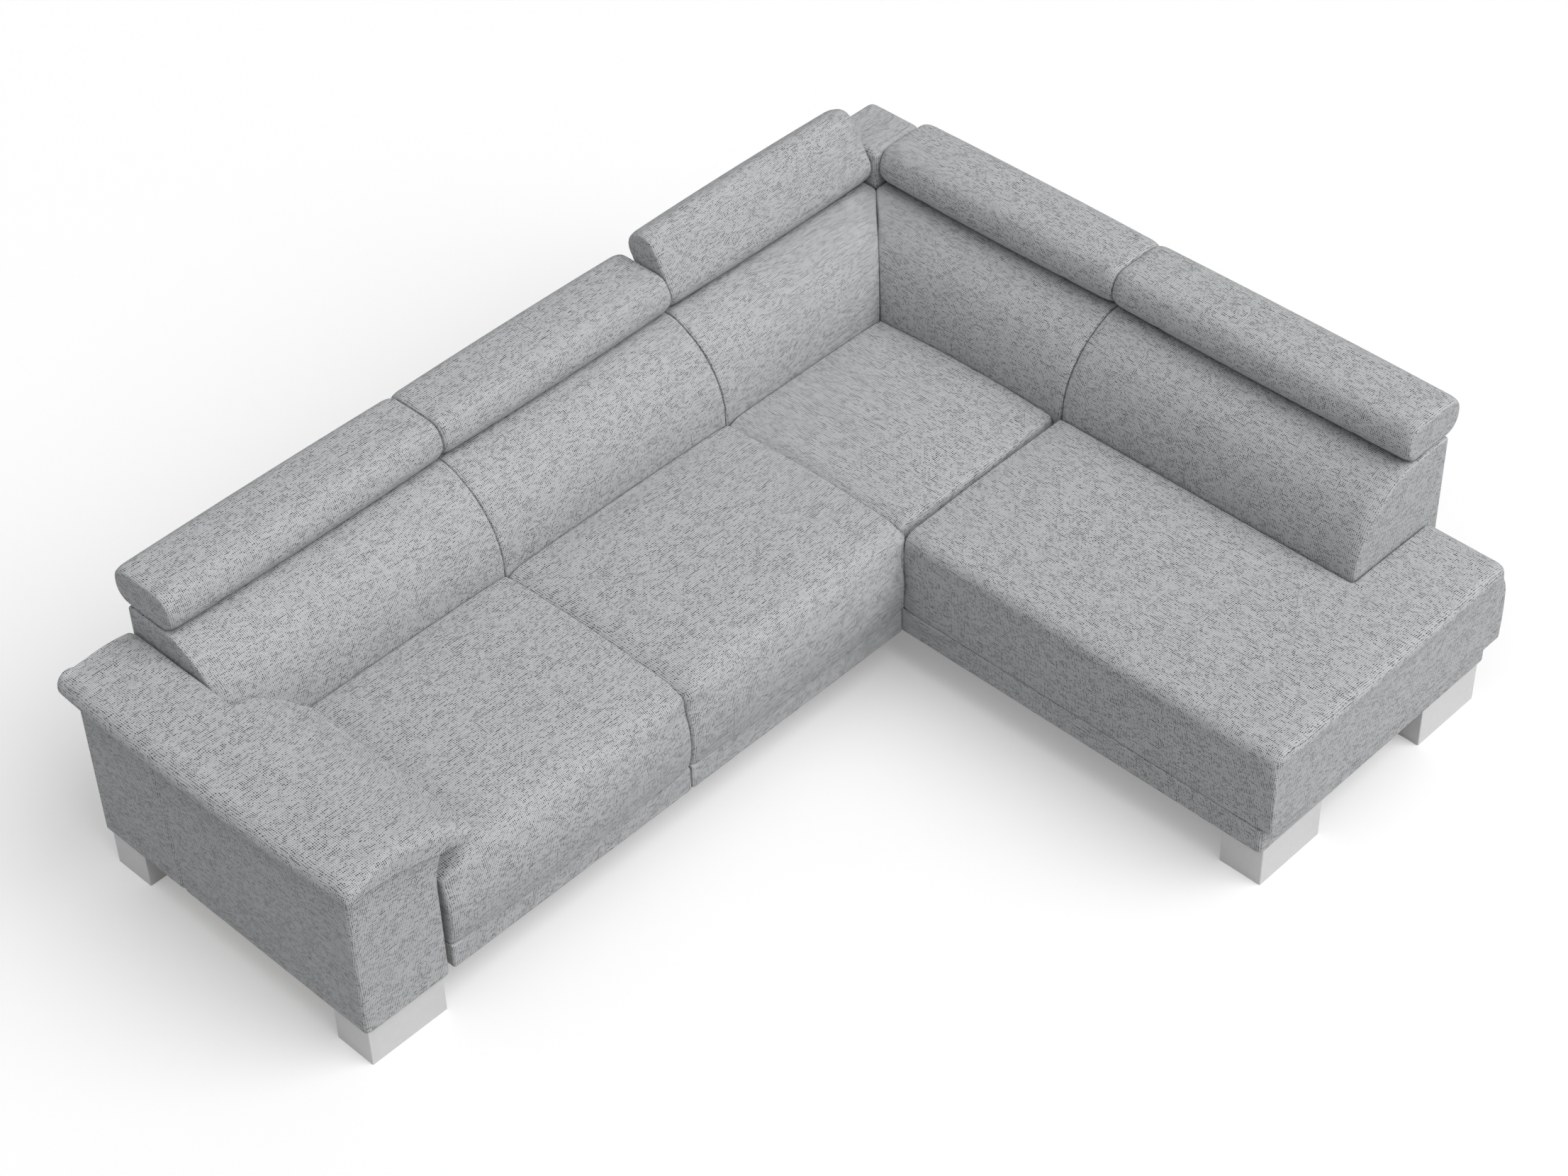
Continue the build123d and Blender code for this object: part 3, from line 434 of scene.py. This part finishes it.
def tighten_edge(points, first, second, radius, target):
    """Draws a rounded edge out towards its corner; a face is its axis, its outward sign and its level."""
    inside = [radius - (level - points[:, axis]) * sign for axis, sign, level in (first, second)]
    rounded = (inside[0] > 0) & (inside[1] > 0)
    reach = np.maximum(np.hypot(*inside), TINY)
    ways = [part / reach for part in inside]
    offset = radius - target
    middle = offset * (ways[0] + ways[1])
    on_arc = middle + np.sqrt(np.maximum(middle ** 2 - 2 * offset ** 2 + target ** 2, 0))
    on_flat = radius / np.maximum(np.maximum(*ways), TINY)
    at_arc = np.minimum(ways[0], ways[1]) * on_arc >= offset
    scale = np.where(at_arc, on_arc, on_flat) / radius
    for (axis, sign, level), part in zip((first, second), inside):
        points[rounded, axis] = (level - sign * (radius - part * scale))[rounded]


def plump_seat_ends(piece, node):
    """Fills the ends of a wide seat, so that its front corners are square."""
    low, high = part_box(node)
    points = coordinates(piece.data)
    for from_end in (points[:, 0] - low[0], high[0] - points[:, 0]):
        fill = SEAT_FILL * fade(from_end, SOFT_EDGE) ** 2
        points[:, 1] -= fill * fade(points[:, 1] - low[1], FRONT_STRETCH)
        points[:, 2] += TOP_SHARE * fill * np.clip((points[:, 2] - TOP_START) / TOP_RISE, 0, 1)
    square = points.copy()
    tighten_edge(square, (1, -1, low[1] + SEAT_SWELL), (2, 1, SEAT_TOP), SEAT_RADIUS, NOSE_RADIUS)
    from_end = np.minimum(points[:, 0] - low[0], high[0] - points[:, 0])
    points += ramp(-from_end, -NOSE_STRETCH, 0)[:, None] * (square - points)
    place_vertices(piece.data, points)


def dip_left_edge(piece, node):
    """Lowers the left edge of a seat where it goes under what is beside it."""
    width, drop = DIPPING[node]
    low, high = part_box(node)
    points = coordinates(piece.data)
    near = fade(points[:, 0] - low[0], width)
    raised = np.clip((points[:, 2] - high[2] + DIP_DEPTH) / DIP_DEPTH, 0, 1)
    points[:, 2] -= drop * near ** 2 * raised
    place_vertices(piece.data, points)


def tighten_wing(piece, node):
    """Pulls the cover of the wing's seat tight over its edges."""
    low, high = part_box(node)
    points = coordinates(piece.data)
    top = (2, 1, SEAT_TOP)
    tip = (1, -1, low[1])
    for side in ((0, -1, low[0] + WING_WAIST), (0, 1, high[0] - WING_WAIST)):
        tighten_edge(points, side, tip, *WING_EDGES["upright"])
        tighten_edge(points, side, top, *WING_EDGES["long"])
    tighten_edge(points, tip, top, *WING_EDGES["end"])
    place_vertices(piece.data, points)


# Backs and headrests

# Where the headrests turn: above the floor, and the axis that points to the rear with the place on it.
HINGE_HEIGHT = 0.740
REARWARD = {"1": (1, 0.922), "2": (1, 0.922), "3": (1, 0.922), "4": (0, 1.236), "5": (0, 1.236)}

# The join between the first two backs: which end of each, and how far it is filled and moved over.
BACK_JOIN = {"back_1_cushion": 1, "back_2_cushion": -1}
BACK_FILL = 0.004
BACK_CLOSE = 0.0012
CLOSE_STRETCH = 0.012

# The roll of a back's top front edge, which fades out at the mitre in the corner.
BACK_TOP = 0.681
BACK_EDGE_REACH = 0.079
BACK_ROLL = 0.016
BACK_ROLL_HEIGHT = 0.070
MITRE_NEIGHBOUR = {"3": "4", "4": "3"}
MITRE_FADE = 0.070

# The hollow that a headrest turns in: its radius, its start below the hinge, and its fade at the ends.
TROUGH = 0.0662
TROUGH_START = 0.045
TROUGH_ENDS = (0.004, 0.020)

# A headrest's roll, and how much its front is filled between which angles round the hinge.
PAD_ROLL = 0.0575
PAD_FRONT_FILL = 0.007
FILL_BEGINS = (150, 190)
FILL_ENDS = (238, 262)


def close_back_join(piece, node):
    """Closes the join between the first two backs, which the photograph hardly shows."""
    low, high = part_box(node)
    side = BACK_JOIN[node]
    mesh = piece.data
    points = coordinates(mesh)
    front = np.clip(-vertex_normals(mesh)[:, 1], 0, 1)
    from_end = high[0] - points[:, 0] if side > 0 else points[:, 0] - low[0]
    points[:, 1] -= BACK_FILL * fade(from_end, SOFT_EDGE) ** 2 * front
    points[:, 0] += side * BACK_CLOSE * fade(from_end, CLOSE_STRETCH)
    place_vertices(mesh, points)


def round_back_top(piece, unit):
    """Rolls the top front edge of a back in under its headrest, and hollows the top where the pad turns."""
    axis, hinge = REARWARD[unit]
    points = coordinates(piece.data)
    behind = points[:, axis] - hinge
    height = points[:, 2] - HINGE_HEIGHT
    near_top = np.clip((points[:, 2] - BACK_TOP + BACK_ROLL_HEIGHT) / BACK_ROLL_HEIGHT, 0, 1)
    near_front = 1 - np.clip((behind + BACK_EDGE_REACH) / BACK_EDGE_REACH, 0, 1)
    along = points[:, 1 - axis]
    if unit in MITRE_NEIGHBOUR:
        neighbour_hinge = REARWARD[MITRE_NEIGHBOUR[unit]][1]
        near_front *= ramp(neighbour_hinge - BACK_EDGE_REACH - along, 0, MITRE_FADE)
    behind += BACK_ROLL * near_top ** 2 * near_front

    from_end = np.minimum(along - along.min(), along.max() - along)
    reach = np.maximum(np.hypot(behind, height), TINY)
    room = np.where(height < -TROUGH_START, np.maximum(TROUGH / reach, 1), 1)
    room = 1 + (room - 1) * ramp(from_end, *TROUGH_ENDS)
    points[:, axis] = hinge + behind * room
    points[:, 2] = HINGE_HEIGHT + height * room
    place_vertices(piece.data, points)


def fill_pad_front(piece, unit):
    """Fills the lower front of a headrest's roll, so that it closes on the back below it."""
    axis, hinge = REARWARD[unit]
    points = coordinates(piece.data)
    behind = points[:, axis] - hinge
    height = points[:, 2] - HINGE_HEIGHT
    turned = RAISED if unit == "3" else 0.0
    angle = np.degrees(np.mod(np.arctan2(height, behind) - turned, 2 * math.pi))
    reach = np.maximum(np.hypot(behind, height), TINY)
    fill = PAD_FRONT_FILL * ramp(angle, *FILL_BEGINS) * (1 - ramp(angle, *FILL_ENDS))
    fill *= np.clip(reach / PAD_ROLL, 0, 1) ** 2
    points[:, axis] += behind / reach * fill
    points[:, 2] += height / reach * fill
    place_vertices(piece.data, points)


# Armrest and corner block

# The armrest's outer face and the top of its side.
ARM_FACE = -1.359
ARM_SIDE_TOP = 0.566

# The pad's rear end: how far its nose reaches, and how far it is lifted above the side's top.
REAR_NOSE = 0.034
REAR_LIFT = 0.018
REAR_RISE = 0.03

# The pad's outer roll: its fill, where it starts inside the face and is full outside it, and the normal and
# the edge that tell which points rest on the body.
ROLL_FILL = 0.009
ROLL_START, ROLL_FULL = 0.070, 0.016
RESTING_NORMAL = -0.3
RESTING_EDGE = 0.003

# The pad's inner lip: its lift, where that begins and is full at the seat's end, and the upward normal that
# is left alone.
LIP_LIFT = 0.014
LIP_START, LIP_FULL = 0.010, 0.025
LIP_NORMAL = 0.4

# The seam where the rear panel of the armrest's side is joined on.
SEAM_FOOT, SEAM_SLANT = 0.699, 0.086
SEAM_HALF_WIDTH = 0.005
SEAM_DEPTH = 0.008
SEAM_SKIN = 0.008

# The corner block's top: its lift, the heights between which it grows, and the rounds that soften edges.
BLOCK_LIFT = 0.012
BLOCK_RISE = (0.60, 0.76)
BLOCK_ROUNDS = 8


def shape_arm_pad(piece):
    """Makes the pad's outer edge a full roll, squares its rear end and thins its inner lip."""
    mesh = piece.data
    points = coordinates(mesh)
    from_rear = np.clip((points[:, 1].max() - points[:, 1]) / REAR_NOSE, 0, 1)
    above_side = np.clip((points[:, 2] - ARM_SIDE_TOP) / REAR_RISE, 0, 1)
    points[:, 2] += REAR_LIFT * (1 - from_rear) ** 4 * above_side
    place_vertices(mesh, points)
    normals = vertex_normals(mesh)
    out = ramp(-points[:, 0], -ARM_FACE - ROLL_START, -ARM_FACE + ROLL_FULL)
    resting = (normals[:, 2] < RESTING_NORMAL) & (points[:, 0] > ARM_FACE - RESTING_EDGE)
    points += normals * (ROLL_FILL * np.where(resting, 0, out))[:, None]
    seat_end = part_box("seat_1_cushion")[0][0]
    over_seat = ramp(points[:, 0], seat_end - LIP_START, seat_end + LIP_FULL)
    points[:, 2] += LIP_LIFT * over_seat * np.clip(LIP_NORMAL - normals[:, 2], 0, 1)
    place_vertices(mesh, points)


def sew_arm_side(piece):
    """Presses in the upright seam on the armrest's outer side."""
    points = coordinates(piece.data)
    line = SEAM_FOOT + SEAM_SLANT * points[:, 2]
    close = fade(np.abs(points[:, 1] - line), SEAM_HALF_WIDTH)
    points[:, 0] += SEAM_DEPTH * close * (points[:, 0] < ARM_FACE + SEAM_SKIN)
    place_vertices(piece.data, points)


def puff_block(piece):
    """Fills the top of the corner block and rounds its edges."""
    points = coordinates(piece.data)
    points[:, 2] += BLOCK_LIFT * ramp(points[:, 2], *BLOCK_RISE)
    place_vertices(piece.data, points)
    relax(piece, BLOCK_ROUNDS)


# The covers

ALONG_Y = {"corner_seat_cushion", "wing_seat_cushion", "wing_plinth", "back_4_cushion", "back_5_cushion",
           "headrest_4_pad", "headrest_5_pad"}


def shape(piece, node):
    """Gives a cover the form that the photograph shows."""
    if node in WIDE_SEATS:
        plump_seat_ends(piece, node)
    if node in BACK_JOIN:
        close_back_join(piece, node)
    if node in DIPPING:
        dip_left_edge(piece, node)
    elif node == "wing_seat_cushion":
        tighten_wing(piece, node)
    elif node == "arm_pad":
        shape_arm_pad(piece)
    elif node == "arm_body":
        sew_arm_side(piece)
    elif node == "corner_block":
        puff_block(piece)
    elif node in HEADREST_NODES:
        fill_pad_front(piece, node.split("_")[1])
    elif node.startswith("back_"):
        round_back_top(piece, node.split("_")[1])


def finish_soft(piece, node, material):
    """Makes the mesh finer, dresses it, and puts it in the place of its CAD node."""
    apply_modifier(piece, "SUBSURF", levels=1, render_levels=1)
    piece.data.polygons.foreach_set("use_smooth", [True] * len(piece.data.polygons))
    dress(piece, material)
    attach(piece, HEADREST_NODES.get(node, "sofa"))
    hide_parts(node)


for node in fabric_nodes:
    piece = remeshed(node, FINE_VOXEL if node in FINE else VOXEL)
    relax(piece, RELAX_ROUNDS)
    hug(piece, node)
    shape(piece, node)
    if node in SHOWN_SIDES:
        floor = SEAT_LEVEL if node.startswith("back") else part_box(node)[0][2]
        cap = SEAT_CAP if "cushion" in node else PAD_CAP
        inflate(piece, free_share(piece.data, SHOWN_SIDES[node], floor), cap)
    finish_soft(piece, node, FABRIC_Y if node in ALONG_Y else FABRIC_X)


# Floor, light and camera

# The floor's grey for the light that it throws back, its grey as seen, and the glow that lifts it to white.
FLOOR_HALF = 14
FLOOR_BOUNCE = grey(0.50)
FLOOR_SEEN = grey(0.77)
FLOOR_GLOW = 0.235

# The photograph's viewpoint, in metres and degrees, and its lens in millimetres.
CAMERA_PLACE = (-4.143, -4.077, 5.965)
CAMERA_BEARING = -44.964
CAMERA_RISE = 42.764
CAMERA_ROLL = -1.80
SENSOR_WIDTH = 36
LENS = 78.143
FARTHEST = 100


def make_floor():
    """A white floor that keeps the sofa's shadow."""
    mesh = bpy.data.meshes.new("floor")
    corners = [(x * FLOOR_HALF, y * FLOOR_HALF, 0) for x, y in ((-1, -1), (1, -1), (1, 1), (-1, 1))]
    mesh.from_pydata(corners, [], [(0, 1, 2, 3)])
    floor = bpy.data.objects.new("floor", mesh)
    scene.collection.objects.link(floor)
    tree = Tree("floor_white")
    ray = tree.add("ShaderNodeLightPath").outputs
    mirrored = tree.math("MAXIMUM", ray["Is Glossy Ray"], ray["Is Transmission Ray"])
    seen = tree.math("MAXIMUM", ray["Is Camera Ray"], mirrored)
    tree.set(Base_Color=tree.mix(seen, FLOOR_BOUNCE, FLOOR_SEEN), Roughness=0.9, Specular_IOR_Level=0.1,
             Emission_Color=grey(1.0), Emission_Strength=tree.math("MULTIPLY", seen, FLOOR_GLOW))
    dress(floor, tree.material)


def make_soft_sun(name, toward, spread, strength):
    """Even studio light from one broad direction, with soft shadows."""
    data = bpy.data.lights.new(name, "SUN")
    data.angle = math.radians(spread)
    data.energy = strength
    lamp = bpy.data.objects.new(name, data)
    scene.collection.objects.link(lamp)
    lamp.rotation_mode = "QUATERNION"
    lamp.rotation_quaternion = Vector(toward).to_track_quat("Z", "Y")


def make_panel(name, place, aim, size, power):
    """A large soft panel that lifts the open end of the wing."""
    data = bpy.data.lights.new(name, "AREA")
    data.shape = "DISK"
    data.size = size
    data.energy = power
    lamp = bpy.data.objects.new(name, data)
    scene.collection.objects.link(lamp)
    lamp.location = place
    lamp.rotation_mode = "QUATERNION"
    lamp.rotation_quaternion = (Vector(place) - Vector(aim)).to_track_quat("Z", "Y")


def make_world(strength):
    """Even white light from all round."""
    world = bpy.data.worlds.new("studio")
    world.use_nodes = True
    background = world.node_tree.nodes["Background"]
    background.inputs["Color"].default_value = (1, 1, 1, 1)
    background.inputs["Strength"].default_value = strength
    scene.world = world


def make_camera():
    """Looks from the photograph's viewpoint, with its slight roll."""
    bearing, rise, roll = (math.radians(angle) for angle in (CAMERA_BEARING, CAMERA_RISE, CAMERA_ROLL))
    right = Vector((math.cos(bearing), math.sin(bearing), 0))
    level_back = (math.sin(bearing) * math.cos(rise), -math.cos(bearing) * math.cos(rise))
    back = Vector((*level_back, math.sin(rise)))
    up = back.cross(right)
    rolled_right = math.cos(roll) * right + math.sin(roll) * up
    rolled_up = math.cos(roll) * up - math.sin(roll) * right
    data = bpy.data.cameras.new("camera")
    data.sensor_width = SENSOR_WIDTH
    data.lens = LENS
    data.clip_end = FARTHEST
    camera = bpy.data.objects.new("camera", data)
    scene.collection.objects.link(camera)
    rotation = Matrix((rolled_right, rolled_up, back)).transposed()
    camera.matrix_world = Matrix.Translation(CAMERA_PLACE) @ rotation.to_4x4()
    scene.camera = camera


make_floor()
make_world(strength=0.36)
make_soft_sun("key", toward=(0.18, -0.54, 0.70), spread=55, strength=2.14)
make_soft_sun("fill", toward=(-0.50, -0.10, 0.85), spread=60, strength=0.36)
make_panel("side_panel", place=(2.4, -3.2, 2.2), aim=(0.9, -0.4, 0.4), size=2.0, power=12)
make_camera()
scene.view_settings.view_transform = "Standard"
